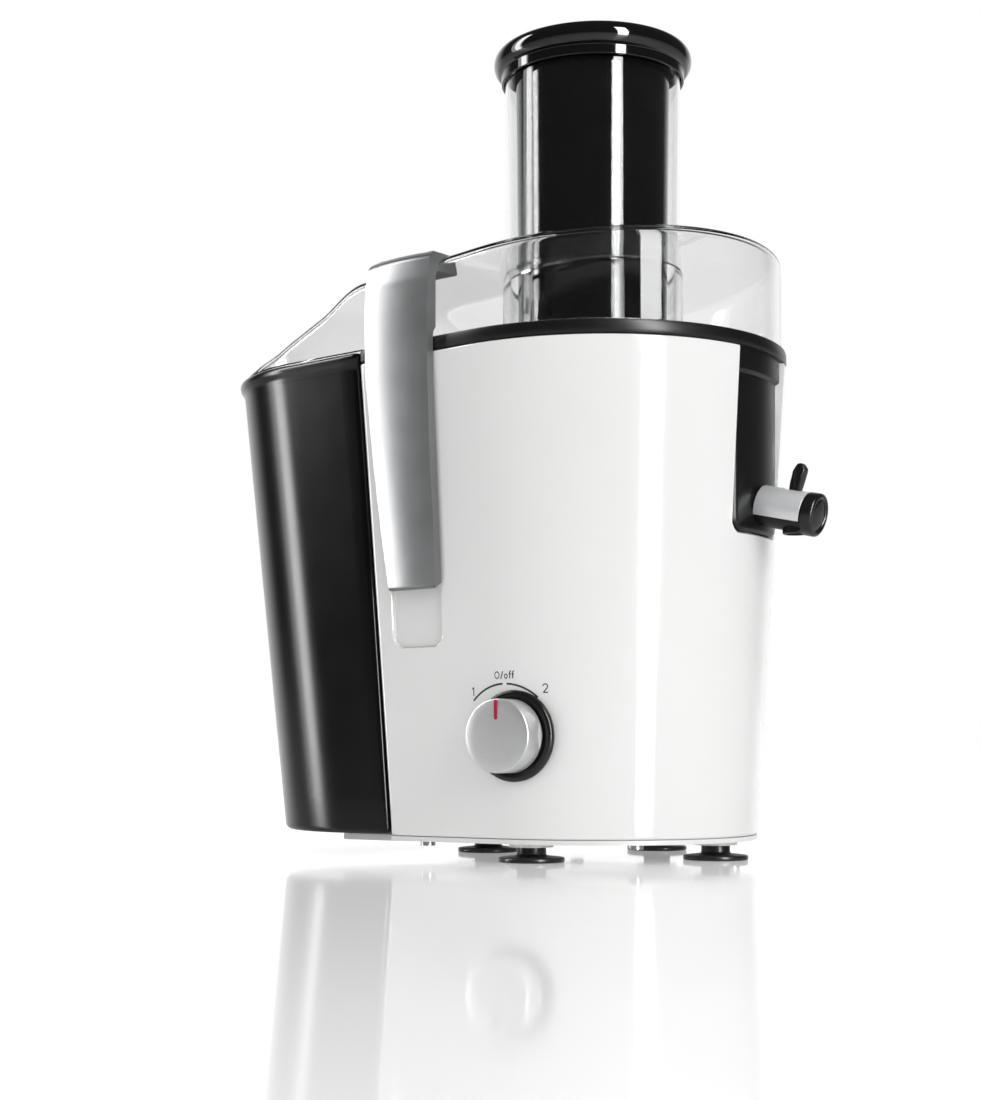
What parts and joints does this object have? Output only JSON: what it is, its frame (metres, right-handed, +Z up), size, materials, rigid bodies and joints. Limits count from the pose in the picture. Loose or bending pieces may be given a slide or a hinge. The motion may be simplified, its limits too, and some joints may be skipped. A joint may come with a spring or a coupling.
{
  "type": "centrifugal juicer",
  "caption": "Upright juicer: white oval housing, dark side pulp container, clear domed lid with a wide feed tube and pusher, side clamps, dial switch, drip-stop spout.",
  "frame": {"origin": "on the worktop under the middle of the machine's footprint", "axes": "+Z up, +X out of the juice spout, -Y to the front with the switch knob"},
  "size_m": [0.3248, 0.1996, 0.4],
  "materials": {
    "white_shell": "gloss",
    "base_plastic": "satin",
    "foot_rubber": "matte",
    "screw_steel": "bright",
    "bowl_plastic": "satin",
    "spout_metal": "brushed",
    "black_gloss": "gloss",
    "lid_clear": "clear",
    "tube_clear": "clear",
    "pusher_black": "gloss",
    "pulp_plastic": "satin",
    "clamp_silver": "satin silver coat",
    "knob_silver": "satin silver coat",
    "pointer_red": "gloss",
    "pin_steel": "bright",
    "switch_ivory": "matte",
    "board_green": "satin",
    "inner_black": "satin",
    "iron_stack": "plain",
    "copper_wire": "enamelled",
    "bracket_alloy": "cast",
    "bearing_steel": "polished",
    "brush_brown": "matte",
    "brush_carbon": "matte",
    "damper_rubber": "matte",
    "commutator_brass": "bright",
    "fan_plastic": "matte",
    "sieve_steel": "satin",
    "grating_steel": "bright"
  },
  "bodies": {
    "casing": {"housing_shell": "white_shell", "base_plate": "base_plastic", "foot_front": "foot_rubber", "foot_back": "foot_rubber", "foot_left": "foot_rubber", "foot_right": "foot_rubber", "housing_screws": "screw_steel", "juice_bowl": "bowl_plastic", "spout_panel": "bowl_plastic", "juice_spout": "bowl_plastic", "spout_sleeve": "spout_metal", "spout_cap": "black_gloss", "lid": "lid_clear", "feed_tube": "tube_clear", "knob_bezel": "black_gloss", "rotary_switch": "switch_ivory", "control_board": "board_green", "interlock_switches": "inner_black", "cord_gland": "inner_black", "clamp_pin_front": "pin_steel", "clamp_pin_back": "pin_steel", "motor_stator": "iron_stack", "field_windings": "copper_wire", "lower_bracket": "bracket_alloy", "upper_bracket": "bracket_alloy", "lower_bearing": "bearing_steel", "upper_bearing": "bearing_steel", "brush_holders": "brush_brown", "carbon_brushes": "brush_carbon", "motor_screws": "screw_steel", "motor_dampers": "damper_rubber", "shaft_seal": "damper_rubber"},
    "rotor": {"motor_shaft": "pin_steel", "armature": "iron_stack", "armature_windings": "copper_wire", "commutator": "commutator_brass", "cooling_fan": "fan_plastic", "drive_coupling": "inner_black", "filter_basket": "sieve_steel", "basket_hub": "inner_black", "grating_disc": "grating_steel"},
    "pusher": {"pusher": "pusher_black"},
    "container": {"pulp_container": "pulp_plastic"},
    "clamp_front_arm": {"clamp_front": "clamp_silver"},
    "clamp_back_arm": {"clamp_back": "clamp_silver"},
    "knob": {"switch_knob": "knob_silver", "knob_pointer": "pointer_red", "switch_spindle": "pin_steel"},
    "drip_stop": {"drip_lever": "black_gloss", "drip_lever_pin": "pin_steel", "drip_valve": "inner_black"}
  },
  "joints": [
    {"name": "rotor_spin", "type": "hinge", "parent": "casing", "child": "rotor", "pos_m": [0.0398, 0, 0.1], "axis": [0, 0, 1], "continuous": true},
    {"name": "pusher_lift", "type": "slide", "parent": "casing", "child": "pusher", "axis": [0, 0, 1], "range_m": [0, 0.2]},
    {"name": "container_pull", "type": "slide", "parent": "casing", "child": "container", "axis": [-1, 0, 0], "range_m": [0, 0.13]},
    {"name": "clamp_front_swing", "type": "hinge", "parent": "casing", "child": "clamp_front_arm", "pos_m": [-0.00936, -0.08699, 0.1318], "axis": [0.9936, -0.1132, 0], "range_deg": [0, 50]},
    {"name": "clamp_back_swing", "type": "hinge", "parent": "casing", "child": "clamp_back_arm", "pos_m": [-0.00936, 0.08699, 0.1318], "axis": [-0.9936, -0.1132, 0], "range_deg": [0, 50]},
    {"name": "knob_turn", "type": "hinge", "parent": "casing", "child": "knob", "pos_m": [0.0458, -0.08485, 0.059], "axis": [0, -1, 0], "range_deg": [-45, 45]},
    {"name": "drip_lever_tilt", "type": "hinge", "parent": "casing", "child": "drip_stop", "pos_m": [0.14755, 0, 0.1711], "axis": [0, -1, 0], "range_deg": [0, 30]}
  ]
}
